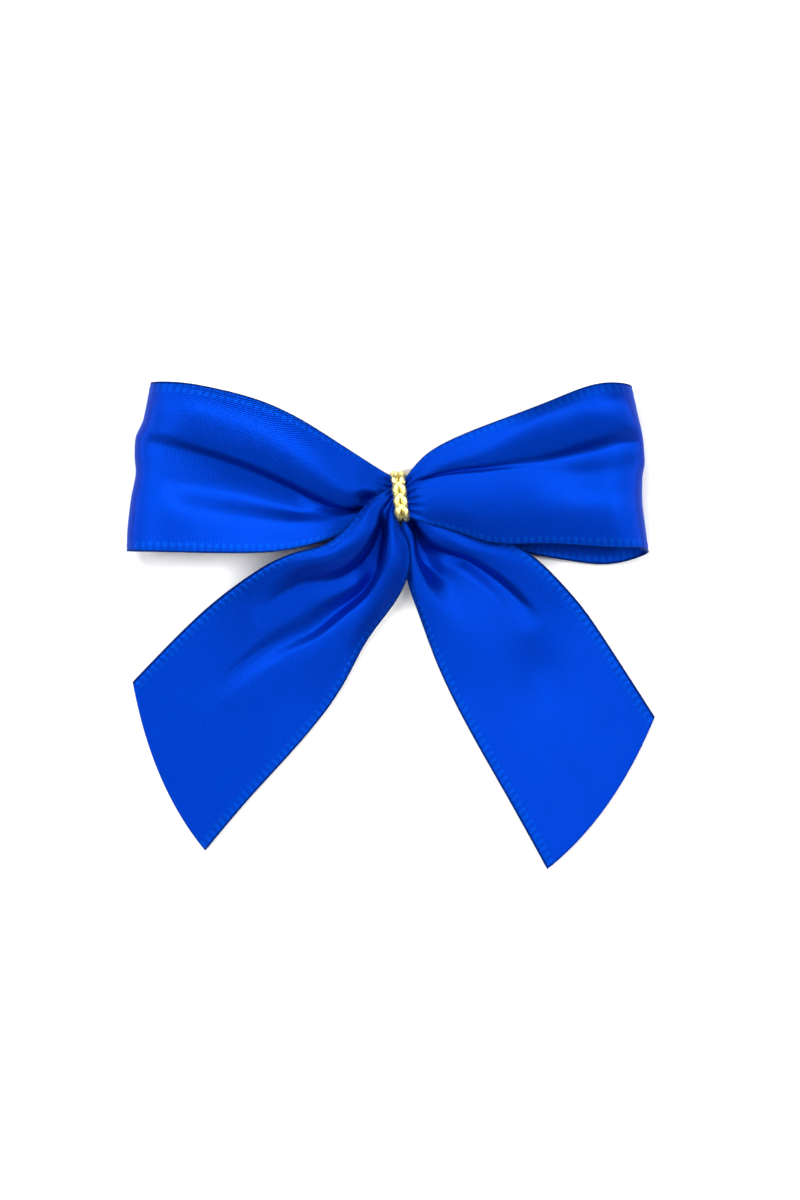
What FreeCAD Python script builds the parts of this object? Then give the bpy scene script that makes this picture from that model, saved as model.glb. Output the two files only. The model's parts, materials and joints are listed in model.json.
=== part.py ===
import FreeCAD, Part
import math
import os

from FreeCAD import Vector

# A ready-made gift bow, lying on its back. +X is to the right, +Y points away from the tails and
# +Z comes up out of the bow. The origin is the middle of the release liner's underside, below the
# knot. All sizes are in millimetres.

# Driving dimensions
RIBBON_WIDTH = 25.0
RIBBON_THICKNESS = 0.35
LEFT_LOOP_REACH = 40.8
RIGHT_LOOP_REACH = 37.0
FOLD_RADIUS = 3.9
LEFT_LOOP_TILT = -8.1
RIGHT_LOOP_TILT = 6.4
LEFT_TAIL_ANGLE = -130.6
RIGHT_TAIL_ANGLE = -55.8

# The gathered ribbon inside the tie, and the tie round it
BUNDLE_WIDTH = 6.6
BUNDLE_BOTTOM = 2.6
LAYER_DEPTH = 1.2
BUNDLE_CORNER = 1.1
TIE_WIDTH = 2.6
TIE_THICKNESS = 0.6
TIE_CLEARANCE = 0.05
LAYER_HALF_LENGTH = 1.6

# The knot in the tie, behind the bundle
KNOT_RADIUS = 1.3
TIE_END_LENGTH = 5.0
TIE_END_ANGLES = (-160.0, -20.0)

# The self-adhesive pad under the knot
PAD_LENGTH = 12.0
PAD_WIDTH = 7.6
PAD_CORNER = 1.0
PAD_TURN = 13.0
LINER_THICKNESS = 0.1
LINER_TAB = 1.6
LINER_CLEARANCE = 0.02
FILM_THICKNESS = 0.06
FOAM_THICKNESS = 1.0

# Where the loops and tails bend when they are lifted
TAIL_HINGE_DISTANCE = 20.0
LOOP_ROOT_REACH = 3.2
SPLIT_CLEARANCE = 0.15
LEFT_LOOP_HINGE = (Vector(-2.0, 1.6, 0.0), Vector(-19.5, -9.0, 0.0))
RIGHT_LOOP_HINGE = (Vector(1.5, 1.2, 0.0), Vector(20.5, -8.8, 0.0))

# How a loop widens from the tie: (distance from the knot, half width)
LOOP_SPREAD = [(1.4, 2.6), (4.0, 4.7), (9.0, 7.7), (17.0, 10.2), (27.0, 12.0)]
SPREAD_END = 3.0

# Heights of a loop's back layer, then of each front layer: (distance from the knot, height)
LOOP_BACK = [(1.0, 3.2), (3.0, 2.85), (6.0, 2.4), (12.0, 1.85), (20.0, 1.35)]
FOLD_UNDERSIDE = 0.95
LEFT_FRONT = [(1.0, 4.4), (3.0, 4.5), (6.0, 4.9), (10.0, 5.9), (15.0, 7.5), (21.0, 8.9), (29.0, 9.3)]
RIGHT_FRONT = [(1.0, 5.6), (3.0, 5.8), (6.0, 6.3), (10.0, 7.1), (15.0, 8.2), (21.0, 9.1), (27.0, 9.2)]

# Heights of each tail, in the same way
LEFT_TAIL_FALL = [(-2.0, 5.5), (1.6, 5.7), (5.0, 6.7), (9.0, 7.3), (13.0, 7.0), (18.0, 5.2), (24.0, 2.6),
                  (30.0, 1.2), (38.0, 0.7), (48.0, 0.55), (64.0, 0.5)]
RIGHT_TAIL_FALL = [(-2.0, 4.4), (1.6, 4.4), (5.0, 4.5), (9.0, 4.2), (13.0, 3.4), (18.0, 2.5), (24.0, 1.5),
                   (30.0, 0.95), (38.0, 0.7), (48.0, 0.55), (64.0, 0.5)]

FAR = 80.0
BELOW = -5.0
ABOVE = 25.0


def spline(points):
    """One smooth edge through plan or profile points."""
    curve = Part.BSplineCurve()
    curve.interpolate(points)
    return curve.toShape()


def strip_face(centre, thickness):
    """The edge-on view of a ribbon in the XZ plane: a band of even thickness along a centre curve."""
    curve = Part.BSplineCurve()
    curve.interpolate(centre)
    first, last = curve.FirstParameter, curve.LastParameter
    samples = 6 * len(centre)
    upper = []
    lower = []
    for index in range(samples + 1):
        parameter = first + (last - first) * index / samples
        point = curve.value(parameter)
        along = curve.tangent(parameter)[0]
        across = Vector(-along.z, 0, along.x) * (thickness / 2)
        upper.append(point + across)
        lower.append(point - across)
    edges = [
        spline(upper),
        Part.makeLine(upper[-1], lower[-1]),
        spline(lower),
        Part.makeLine(lower[0], upper[0]),
    ]
    return Part.Face(Part.Wire(Part.__sortEdges__(edges)))


def strip_solid(centre, half_width):
    """A ribbon stretch that is straight across, in its own frame: along X, across Y."""
    face = strip_face(centre, RIBBON_THICKNESS)
    face.translate(Vector(0, -half_width, 0))
    return face.extrude(Vector(0, 2 * half_width, 0))


def prism(edges):
    """An upright block over a plan outline, taller than the bow."""
    face = Part.Face(Part.Wire(Part.__sortEdges__(edges)))
    face.translate(Vector(0, 0, BELOW))
    return face.extrude(Vector(0, 0, ABOVE - BELOW))


def turned(shape, degrees):
    """A copy turned about the vertical axis through the origin."""
    copy = shape.copy()
    copy.rotate(Vector(0, 0, 0), Vector(0, 0, 1), degrees)
    return copy


def side_of_line(start, end, offset):
    """A tall block on the left-hand side of the line from start to end, moved to that side by offset."""
    along = end - start
    angle = math.degrees(math.atan2(along.y, along.x))
    block = Part.makeBox(2 * FAR, FAR, 2 * FAR, Vector(-FAR, offset, -FAR))
    block.rotate(Vector(0, 0, 0), Vector(0, 0, 1), angle)
    block.translate((start + end) * 0.5)
    return block


def rounded_box(length, width, height, radius, place):
    """A flat block with rounded corners, centred in plan on place."""
    block = Part.makeBox(length, width, height, place + Vector(-length / 2, -width / 2, 0))
    uprights = [edge for edge in block.Edges if abs(edge.tangentAt(edge.FirstParameter).z) > 0.9]
    return block.makeFillet(radius, uprights)


def bundle_block(depth_from, depth_to, margin, length):
    """A slice of the rounded bundle along X, with a margin all round its section."""
    width = BUNDLE_WIDTH + 2 * margin
    height = 3 * LAYER_DEPTH + 2 * margin
    block = Part.makeBox(length, width, height, Vector(-length / 2, -width / 2, BUNDLE_BOTTOM - margin))
    lengthways = [edge for edge in block.Edges if abs(edge.tangentAt(edge.FirstParameter).x) > 0.9]
    block = block.makeFillet(BUNDLE_CORNER + margin, lengthways)
    slab = Part.makeBox(length, width, depth_to - depth_from, Vector(-length / 2, -width / 2, depth_from))
    return block.common(slab)


# Loops


def loop_outline(reach):
    """Plan outline of a loop that reaches along +X and widens from the tie to the full ribbon."""
    half = RIBBON_WIDTH / 2
    spread = LOOP_SPREAD + [(reach - SPREAD_END, half)]
    upper = [Vector(u, v, 0) for u, v in spread]
    lower = [Vector(u, -v, 0) for u, v in spread]
    end = reach + 1.0
    return prism([
        spline(upper),
        Part.makeLine(upper[-1], Vector(end, half, 0)),
        Part.makeLine(Vector(end, half, 0), Vector(end, -half, 0)),
        Part.makeLine(Vector(end, -half, 0), lower[-1]),
        spline(lower),
        Part.makeLine(lower[0], upper[0]),
    ])


def loop_solid(reach, front_rise):
    """A loop along +X: the back layer, the round fold at the end and the front layer over it."""
    fold_x = reach - FOLD_RADIUS - RIBBON_THICKNESS / 2
    fold_z = FOLD_RADIUS + FOLD_UNDERSIDE
    back = LOOP_BACK + [(fold_x - FOLD_RADIUS, FOLD_UNDERSIDE)]
    fold = []
    for degrees in range(-90, 91, 30):
        turn = math.radians(degrees)
        fold.append((fold_x + FOLD_RADIUS * math.cos(turn), fold_z + FOLD_RADIUS * math.sin(turn)))
    front = list(reversed(front_rise))
    centre = [Vector(x, 0, z) for x, z in back + fold + front]
    return strip_solid(centre, RIBBON_WIDTH).common(loop_outline(reach))


def left_loop_whole():
    loop = loop_solid(LEFT_LOOP_REACH, LEFT_FRONT)
    loop = loop.mirror(Vector(0, 0, 0), Vector(1, 0, 0))
    return turned(loop, LEFT_LOOP_TILT)


def right_loop_whole():
    return turned(loop_solid(RIGHT_LOOP_REACH, RIGHT_FRONT), RIGHT_LOOP_TILT)


def split_loop(loop, hinge, moving_side):
    """Part a loop along its hinge line into the lifting part, the front root and the back root."""
    start, end = hinge if moving_side == "left" else reversed(hinge)

    def lifting_space(clearance):
        reach = LOOP_ROOT_REACH + clearance
        collar = Part.makeBox(2 * reach, 2 * FAR, 2 * FAR, Vector(-reach, -FAR, -FAR))
        return side_of_line(start, end, clearance).cut(collar)

    lifting = loop.common(lifting_space(SPLIT_CLEARANCE))
    roots = loop.cut(lifting_space(-SPLIT_CLEARANCE)).Solids
    roots.sort(key=lambda solid: solid.CenterOfMass.z)
    return lifting, roots[-1], roots[0]


# Tails


def left_tail_outline():
    tip = Vector(-29.5, -53.6, 0)
    corner = Vector(-40.5, -28.0, 0)
    top = [Vector(-1.45, 0.6, 0), Vector(-6.1, -2.4, 0), Vector(-11.4, -7.2, 0), Vector(-19.4, -10.2, 0),
           Vector(-31.4, -18.8, 0), corner]
    bottom = [tip, Vector(-14.8, -36.8, 0), Vector(-5.0, -21.7, 0), Vector(0.4, -12.4, 0),
              Vector(1.1, -7.3, 0), Vector(0.1, -5.2, 0), Vector(-1.45, -3.8, 0)]
    cut = Part.Arc(corner, Vector(-36.9, -41.3, 0), tip).toShape()
    return prism([spline(top), cut, spline(bottom), Part.makeLine(bottom[-1], top[0])])


def right_tail_outline():
    tip = Vector(22.3, -56.4, 0)
    corner = Vector(38.6, -33.3, 0)
    left = [Vector(1.5, -3.3, 0), Vector(2.0, -5.2, 0), Vector(1.5, -9.8, 0), Vector(3.4, -18.5, 0),
            Vector(9.5, -33.8, 0), tip]
    right = [corner, Vector(31.1, -21.7, 0), Vector(24.6, -13.0, 0), Vector(17.0, -7.0, 0),
             Vector(8.0, -2.4, 0), Vector(1.5, 0.4, 0)]
    cut = Part.Arc(tip, Vector(31.6, -45.9, 0), corner).toShape()
    return prism([spline(left), cut, spline(right), Part.makeLine(right[-1], left[0])])


def tail_whole(centre, angle, outline):
    """A tail along its own direction, cut to its plan outline."""
    strip = strip_solid([Vector(s, 0, z) for s, z in centre], RIBBON_WIDTH)
    return turned(strip, angle).common(outline)


def split_tail(tail, angle):
    """Part a tail across its length into the root that the tie holds and the blade that lifts."""
    root_side = Part.makeBox(FAR, 2 * FAR, 2 * FAR,
                             Vector(TAIL_HINGE_DISTANCE - SPLIT_CLEARANCE - FAR, -FAR, -FAR))
    blade_side = Part.makeBox(FAR, 2 * FAR, 2 * FAR,
                              Vector(TAIL_HINGE_DISTANCE + SPLIT_CLEARANCE, -FAR, -FAR))
    return tail.common(turned(root_side, angle)), tail.common(turned(blade_side, angle))


# Tie and pad


def tie_band():
    top = BUNDLE_BOTTOM + 3 * LAYER_DEPTH + TIE_THICKNESS
    bottom = BUNDLE_BOTTOM - TIE_THICKNESS
    outer = bundle_block(bottom, top, TIE_THICKNESS, TIE_WIDTH)
    inner = bundle_block(BUNDLE_BOTTOM - TIE_CLEARANCE, top, TIE_CLEARANCE, 2 * TIE_WIDTH)
    return outer.cut(inner)


def tie_knot(pad_top):
    """The knot behind the bundle, pressed flat between the band and the pad, and its two short ends."""
    band_bottom = BUNDLE_BOTTOM - TIE_THICKNESS
    height = band_bottom - pad_top
    knot = Part.makeCylinder(KNOT_RADIUS, height, Vector(0, 0, pad_top))
    cord_radius = height / 2
    middle = Vector(0, 0, pad_top + cord_radius)
    for angle in TIE_END_ANGLES:
        end = Part.makeCylinder(cord_radius, TIE_END_LENGTH, middle, Vector(1, 0, 0))
        end = turned(end, angle)
        knot = knot.fuse(end)
    return knot.removeSplitter()


def pad_layer(length, low, thickness, shift=0.0):
    layer = rounded_box(length, PAD_WIDTH, thickness, PAD_CORNER, Vector(shift, 0, low))
    return turned(layer, PAD_TURN)


def build():
    nodes = {}

    back_film_low = LINER_THICKNESS + LINER_CLEARANCE
    foam_low = back_film_low + FILM_THICKNESS
    front_film_low = foam_low + FOAM_THICKNESS
    pad_top = front_film_low + FILM_THICKNESS
    nodes["release_liner"] = pad_layer(PAD_LENGTH + LINER_TAB, 0.0, LINER_THICKNESS, LINER_TAB / 2)
    nodes["adhesive_back"] = pad_layer(PAD_LENGTH, back_film_low, FILM_THICKNESS)
    nodes["foam_pad"] = pad_layer(PAD_LENGTH, foam_low, FOAM_THICKNESS)
    nodes["adhesive_front"] = pad_layer(PAD_LENGTH, front_film_low, FILM_THICKNESS)

    nodes["tie_band"] = tie_band()
    nodes["tie_knot"] = tie_knot(pad_top)

    left_loop, left_front_root, left_back_root = split_loop(left_loop_whole(), LEFT_LOOP_HINGE, "right")
    right_loop, right_front_root, right_back_root = split_loop(right_loop_whole(), RIGHT_LOOP_HINGE, "left")
    left_whole = tail_whole(LEFT_TAIL_FALL, LEFT_TAIL_ANGLE, left_tail_outline())
    right_whole = tail_whole(RIGHT_TAIL_FALL, RIGHT_TAIL_ANGLE, right_tail_outline())
    left_tail_root, left_tail = split_tail(left_whole, LEFT_TAIL_ANGLE)
    right_tail_root, right_tail = split_tail(right_whole, RIGHT_TAIL_ANGLE)
    nodes["left_loop"] = left_loop
    nodes["right_loop"] = right_loop
    nodes["left_tail"] = left_tail
    nodes["right_tail"] = right_tail

    levels = [BUNDLE_BOTTOM + index * LAYER_DEPTH for index in range(4)]
    crossings = {
        "back_crossing": (0, [left_back_root, right_back_root]),
        "middle_crossing": (1, [left_front_root, right_tail_root]),
        "front_crossing": (2, [right_front_root, left_tail_root]),
    }
    for name, (level, roots) in crossings.items():
        shape = bundle_block(levels[level], levels[level + 1], 0.0, 2 * LAYER_HALF_LENGTH)
        nodes[name] = shape.fuse(roots)
    return nodes


def main():
    os.makedirs("parts", exist_ok=True)
    for name, shape in build().items():
        solids = shape.Solids
        print(name, "solids", len(solids), "valid", shape.isValid(), "volume", round(shape.Volume, 2))
        shape.exportStep("parts/" + name + ".step")


main()
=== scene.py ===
import json
import math

import bpy
import numpy as np
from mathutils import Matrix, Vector, noise


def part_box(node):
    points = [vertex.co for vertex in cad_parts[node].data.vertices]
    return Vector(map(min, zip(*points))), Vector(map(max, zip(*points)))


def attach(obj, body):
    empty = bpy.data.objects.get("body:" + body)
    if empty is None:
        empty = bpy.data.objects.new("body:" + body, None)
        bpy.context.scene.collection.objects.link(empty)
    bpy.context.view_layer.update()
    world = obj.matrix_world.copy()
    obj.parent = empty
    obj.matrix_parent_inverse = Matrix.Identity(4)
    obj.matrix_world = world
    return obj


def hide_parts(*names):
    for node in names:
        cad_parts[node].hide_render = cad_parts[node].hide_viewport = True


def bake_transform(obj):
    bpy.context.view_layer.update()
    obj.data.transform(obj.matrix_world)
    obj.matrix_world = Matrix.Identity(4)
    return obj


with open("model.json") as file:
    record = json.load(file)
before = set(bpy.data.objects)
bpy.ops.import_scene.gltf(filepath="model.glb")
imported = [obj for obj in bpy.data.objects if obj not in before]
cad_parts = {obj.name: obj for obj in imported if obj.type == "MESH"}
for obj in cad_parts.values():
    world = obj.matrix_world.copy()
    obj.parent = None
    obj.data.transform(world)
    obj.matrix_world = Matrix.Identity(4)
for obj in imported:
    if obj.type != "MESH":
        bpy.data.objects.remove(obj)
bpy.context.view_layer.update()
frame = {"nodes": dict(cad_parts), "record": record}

MM = 0.001

# The ribbon: 25 mm satin, measured in millimetres until a mesh is made
RIBBON_WIDTH = 25.0
RIBBON_THICKNESS = 0.24
RESTING_HEIGHT = 0.17

# The grid that a stretch is shaped on, and the finer mesh read from it, with closer columns near the edges
CELL = 0.5
ACROSS = 80
FINE_ALONG = 0.24
EDGE_INSETS = [0.0, 0.1, 0.19, 0.28, 0.40, 0.53, 0.67, 0.81, 0.95, 1.09, 1.23, 1.37, 1.55, 1.9]
INNER_INSET, INNER_COLUMNS = 2.4, 61
CURVE_SAMPLES = 600
HEADING_ROWS = 8

# Millimetres of ribbon to one unit of the flat map
FLAT_UNIT = 100.0

# The pleats that the tie squeezes into it
GATHER_COUNT = 6
GATHER_DEPTH = 0.17
GATHER_REACH = 2.0
GATHER_SWAY, GATHER_SWAY_RATE, GATHER_DRIFT = 0.25, 2.3, 0.05

# How far along a loop its fold lies, as shares of the loop's whole length
FOLD_MIDDLE, FOLD_SPREAD = 0.5, 0.09
TURN_START, TURN_SPAN = 0.40, 0.20

# Weave detail along both edges
STITCH_PITCH = 1.1
STITCH_OFFSET = 0.95
STITCH_HALF = 0.42
STITCH_HEIGHT = 0.06
RIM_WIDTH = 0.28
RIM_HEIGHT = 0.04
GROOVE_INSET, GROOVE_HALF, GROOVE_DEPTH = 0.42, 0.1, 0.03


def joint(name):
    return next(entry for entry in frame["record"]["behaviour"]["joints"] if entry["name"] == name)


# Curves and grids


def spline_at(knots, values, at):
    """Natural cubic spline through values at the knots, read at other places."""
    knots = np.asarray(knots, float)
    values = np.asarray(values, float)
    at = np.asarray(at, float)
    count = len(knots)
    gaps = np.diff(knots)
    matrix = np.zeros((count, count))
    right = np.zeros((count,) + values.shape[1:])
    matrix[0, 0] = matrix[-1, -1] = 1.0
    slopes = np.diff(values, axis=0) / gaps.reshape((-1,) + (1,) * (values.ndim - 1))
    for k in range(1, count - 1):
        matrix[k, k - 1] = gaps[k - 1]
        matrix[k, k] = 2 * (gaps[k - 1] + gaps[k])
        matrix[k, k + 1] = gaps[k]
        right[k] = 6 * (slopes[k] - slopes[k - 1])
    second = np.linalg.solve(matrix, right.reshape(count, -1)).reshape(right.shape)
    span = np.clip(np.searchsorted(knots, at, side="right") - 1, 0, count - 2)
    shape = (-1,) + (1,) * (values.ndim - 1)
    gap = gaps[span].reshape(shape)
    after = (at - knots[span]).reshape(shape)
    before = gap - after
    return (
        (second[span] * before**3 + second[span + 1] * after**3) / (6 * gap)
        + (values[span] / gap - second[span] * gap / 6) * before
        + (values[span + 1] / gap - second[span + 1] * gap / 6) * after
    )


def run_lengths(points):
    steps = np.linalg.norm(np.diff(points, axis=0), axis=1)
    return np.concatenate([[0.0], np.cumsum(steps)])


def even_curve(points, count):
    """Points evenly spaced along the smooth curve through the given points, and its length."""
    points = np.asarray(points, float)
    chord = run_lengths(points)
    fine = spline_at(chord, points, np.linspace(0, chord[-1], CURVE_SAMPLES))
    length = run_lengths(fine)
    wanted = np.linspace(0, length[-1], count)
    even = np.stack([np.interp(wanted, length, fine[:, axis]) for axis in range(3)], axis=1)
    return even, length[-1]


def through(knots, values, at):
    """Smooth line through the keys that never overshoots them."""
    knots = np.asarray(knots, float)
    values = np.asarray(values, float)
    gap = np.diff(knots)
    rise = np.diff(values) / gap
    slope = np.concatenate([rise[:1], np.zeros(len(rise) - 1), rise[-1:]])
    level = rise[:-1] * rise[1:] > 0
    slope[1:-1][level] = 2 * rise[:-1][level] * rise[1:][level] / (rise[:-1] + rise[1:])[level]
    span = np.clip(np.searchsorted(knots, at, side="right") - 1, 0, len(knots) - 2)
    part = np.clip((at - knots[span]) / gap[span], 0, 1)
    rest = 1 - part
    return (
        (1 + 2 * part) * rest**2 * values[span] + part * rest**2 * gap[span] * slope[span]
        + part**2 * (3 - 2 * part) * values[span + 1] - part**2 * rest * gap[span] * slope[span + 1]
    )


def fold_relief(lines, distance, across):
    """Height of the folds over a stretch. Each line runs out from the knot along a ridge or the bottom of a
    valley, from the lower edge's side up: its keys are (distance from the knot, place across, height)."""
    places = [np.full(len(distance), -1.0)]
    heights = [np.zeros(len(distance))]
    for line in lines:
        keys = np.asarray(line, float)
        places.append(through(keys[:, 0], keys[:, 1], distance))
        heights.append(through(keys[:, 0], keys[:, 2], distance))
    places.append(np.full(len(distance), 1.0))
    heights.append(np.zeros(len(distance)))
    places = np.stack(places, axis=1)
    heights = np.stack(heights, axis=1)
    return np.stack([through(places[k], heights[k], across) for k in range(len(distance))])


def dent_relief(dents, distance, across):
    """Soft round dips and swells: (distance, place across, height, half length, half width)."""
    relief = np.zeros((len(distance), len(across)))
    for at, place, height, half_length, half_width in dents:
        away = ((distance - at) / half_length)[:, None] ** 2 + ((across - place) / half_width)[None, :] ** 2
        relief += height * np.exp(-away)
    return relief


def gathers(distance, across, depth):
    """The small pleats that spread from the tie."""
    fade = np.exp(-((distance / GATHER_REACH) ** 2))[:, None]
    drift = GATHER_SWAY * np.sin(GATHER_SWAY_RATE * across)[None, :] + GATHER_DRIFT * distance[:, None]
    return depth * fade * np.cos(2 * np.pi * (GATHER_COUNT * (across + 1)[None, :] / 2 + drift))


def smooth(value):
    """0 to 1 with level ends."""
    value = np.clip(value, 0.0, 1.0)
    return value * value * (3 - 2 * value)


def flat_along(grid, along, anchor):
    """Distances along the threads of the shaped ribbon, agreeing with the flat ones at the anchor row."""
    steps = np.linalg.norm(np.diff(grid, axis=0), axis=-1)
    run = np.concatenate([np.zeros((1, grid.shape[1])), np.cumsum(steps, axis=0)])
    return run - run[anchor] + along[anchor]


# Each stretch is a grid of points with its flat coordinates: along from the knot, across from the middle


def tail_stretch(first_edge, second_edge, folds, dents, cut_bulge):
    """A tail between its two edges; the cut end bulges outwards in the middle."""
    length = max(even_curve(first_edge, 2)[1], even_curve(second_edge, 2)[1])
    rows = int(round(length / CELL)) + 1
    first, first_length = even_curve(first_edge, rows)
    second, second_length = even_curve(second_edge, rows)
    across = np.linspace(-1, 1, ACROSS + 1)
    part = ((across + 1) / 2)[None, :]
    fraction = np.linspace(0, 1, rows)[:, None]
    bulge = cut_bulge * (1 - across**2)[None, :]
    along = fraction * (first_length * (1 - part) + second_length * part + bulge)
    wide = np.broadcast_to(across * RIBBON_WIDTH / 2, along.shape)
    grid = first[:, None, :] * (1 - part)[..., None] + second[:, None, :] * part[..., None]
    heading = first[-1] - first[-HEADING_ROWS] + second[-1] - second[-HEADING_ROWS]
    heading = heading * np.array([1, 1, 0])
    heading /= np.linalg.norm(heading)
    grid += (smooth(fraction * 2 - 1) * bulge)[..., None] * heading
    distance = fraction[:, 0] * (first_length + second_length) / 2
    relief = fold_relief(folds, distance, across) + dent_relief(dents, distance, across)
    grid[..., 2] += relief + gathers(distance, across, GATHER_DEPTH)
    grid[..., 2] = np.maximum(grid[..., 2], RESTING_HEIGHT)
    return grid, flat_along(grid, along, -1), wide


def loop_stretch(lower_front, upper_front, lower_back, upper_back, lower_fold, upper_fold, fold_wave, folds,
                 dents, crown):
    """A loop: front layer out from the knot, round the fold, back layer home. The crown is how far the middle
    of each layer stands off the line between its edges."""
    lower = lower_front + lower_fold + lower_back[::-1]
    upper = upper_front + upper_fold + upper_back[::-1]
    length = (even_curve(lower, 2)[1] + even_curve(upper, 2)[1]) / 2
    rows = int(round(length / CELL)) + 1
    low = even_curve(lower, rows)[0]
    high = even_curve(upper, rows)[0]
    across = np.linspace(-1, 1, ACROSS + 1)
    part = ((across + 1) / 2)[None, :]
    fraction = np.linspace(0, 1, rows)[:, None]
    along = np.broadcast_to(fraction * length, (rows, ACROSS + 1)).copy()
    wide = np.broadcast_to(across * RIBBON_WIDTH / 2, along.shape)
    grid = low[:, None, :] * (1 - part)[..., None] + high[:, None, :] * part[..., None]
    outer = np.exp(-(((fraction - FOLD_MIDDLE) / FOLD_SPREAD) ** 2))
    wave = through(*zip(*fold_wave), across)
    grid[..., 0] += outer * wave[None, :]
    facing = np.cos(np.pi * smooth((fraction - TURN_START) / TURN_SPAN))
    middle = (1 - across**2)[None, :]
    grid[..., 2] += crown * facing * middle * np.sin(np.pi * np.clip(fraction * 2, 0, 1)) ** 0.5
    distance = fraction[:, 0] * length
    relief = fold_relief(folds, distance, across) + dent_relief(dents, distance, across)
    grid[..., 2] += relief + gathers(distance, across, GATHER_DEPTH)
    grid[..., 2] += gathers(distance[::-1], across, -GATHER_DEPTH)
    grid[..., 2] = np.maximum(grid[..., 2], RESTING_HEIGHT)
    return grid, flat_along(grid, along, rows // 2), wide


# Meshes


def refine(stretch):
    """The shaped grid read on a fine grid, closer near the edges, with flat coordinates in millimetres."""
    grid, along, wide = stretch
    rows = grid.shape[0]
    half = RIBBON_WIDTH / 2
    inner = np.linspace(-half + INNER_INSET, half - INNER_INSET, INNER_COLUMNS)
    columns = np.concatenate([[-half + inset for inset in EDGE_INSETS], inner,
                              [half - inset for inset in reversed(EDGE_INSETS)]])
    fine_rows = int(round(along.max() / FINE_ALONG)) + 1
    places = np.linspace(0, rows - 1, fine_rows)
    data = np.concatenate([grid, along[..., None], wide[..., None]], axis=-1)
    data = spline_at(np.arange(rows), data, places)
    data = spline_at(np.linspace(-half, half, ACROSS + 1), data.transpose(1, 0, 2), columns)
    return data.transpose(1, 0, 2)


def grid_normals(points):
    first = np.gradient(points, axis=0)
    second = np.gradient(points, axis=1)
    normals = np.cross(first, second)
    return normals / (np.linalg.norm(normals, axis=-1, keepdims=True) + 1e-12)


def selvedge_height(along, wide):
    """How far the woven edge stands proud: a dense rim and a row of small stitches beside it."""
    inset = RIBBON_WIDTH / 2 - np.abs(wide)
    rim = RIM_HEIGHT * np.exp(-(((inset - RIM_WIDTH / 2) / (RIM_WIDTH / 2)) ** 2) * 1.5)
    across = np.clip(1 - ((inset - STITCH_OFFSET) / STITCH_HALF) ** 2, 0, 1) ** 0.5
    turn = 2 * np.pi * along / STITCH_PITCH
    bead = np.clip(0.25 + 0.75 * np.cos(turn), 0, 1) ** 0.8
    groove = GROOVE_DEPTH * np.exp(-(((inset - GROOVE_INSET) / GROOVE_HALF) ** 2))
    return rim + STITCH_HEIGHT * across * bead - groove


def ribbon_mesh(name, stretch, flip):
    """A closed thin mesh over the shaped grid. Its UV map is the flat ribbon, seen from the face that shows,
    so that the slant of the weave goes the same way on every stretch."""
    data = refine(stretch)
    points, along, wide = data[..., :3], data[..., 3], data[..., 4]
    normals = grid_normals(points)
    if normals[len(normals) // 8, normals.shape[1] // 2, 2] < 0:
        wide = -wide
    normals = normals * (-1.0 if flip else 1.0)
    relief = selvedge_height(along, wide)[..., None]
    top = points + normals * (RIBBON_THICKNESS / 2 + relief)
    bottom = points - normals * (RIBBON_THICKNESS / 2 + relief * 0.6)
    return surface_piece(name, top, bottom, along, wide + RIBBON_WIDTH / 2, flip)


def surface_piece(name, top, bottom, along, wide, flip):
    """The closed mesh between a top and a bottom grid."""
    rows, cols = along.shape
    count = rows * cols
    vertices = np.concatenate([top.reshape(-1, 3), bottom.reshape(-1, 3)]) * MM
    index = np.arange(count).reshape(rows, cols)
    a, b, c, d = index[:-1, :-1], index[1:, :-1], index[1:, 1:], index[:-1, 1:]
    upper = np.stack([a, b, c, d], axis=-1).reshape(-1, 4)
    lower = np.stack([a, d, c, b], axis=-1).reshape(-1, 4) + count
    rims = []
    border = [index[:, 0], index[-1, :], index[::-1, -1], index[0, ::-1]]
    for line in border:
        rims.append(np.stack([line[:-1], line[:-1] + count, line[1:] + count, line[1:]], axis=-1))
    faces = np.concatenate([upper, lower] + rims)
    if flip:
        faces = faces[:, ::-1]
    mesh = bpy.data.meshes.new(name)
    mesh.vertices.add(len(vertices))
    mesh.vertices.foreach_set("co", vertices.ravel())
    mesh.loops.add(faces.size)
    mesh.loops.foreach_set("vertex_index", faces.ravel().astype(np.int32))
    mesh.polygons.add(len(faces))
    mesh.polygons.foreach_set("loop_start", np.arange(0, faces.size, 4, dtype=np.int32))
    mesh.update(calc_edges=True)
    flat = np.stack([along, wide], axis=-1).reshape(-1, 2) / FLAT_UNIT
    flat = np.concatenate([flat, flat])
    layer = mesh.uv_layers.new(name="flat")
    layer.data.foreach_set("uv", flat[faces.ravel()].ravel())
    mesh.polygons.foreach_set("use_smooth", np.ones(len(faces), dtype=bool))
    mesh.validate()
    piece = bpy.data.objects.new(name, mesh)
    bpy.context.scene.collection.objects.link(piece)
    return piece


# Materials


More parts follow.
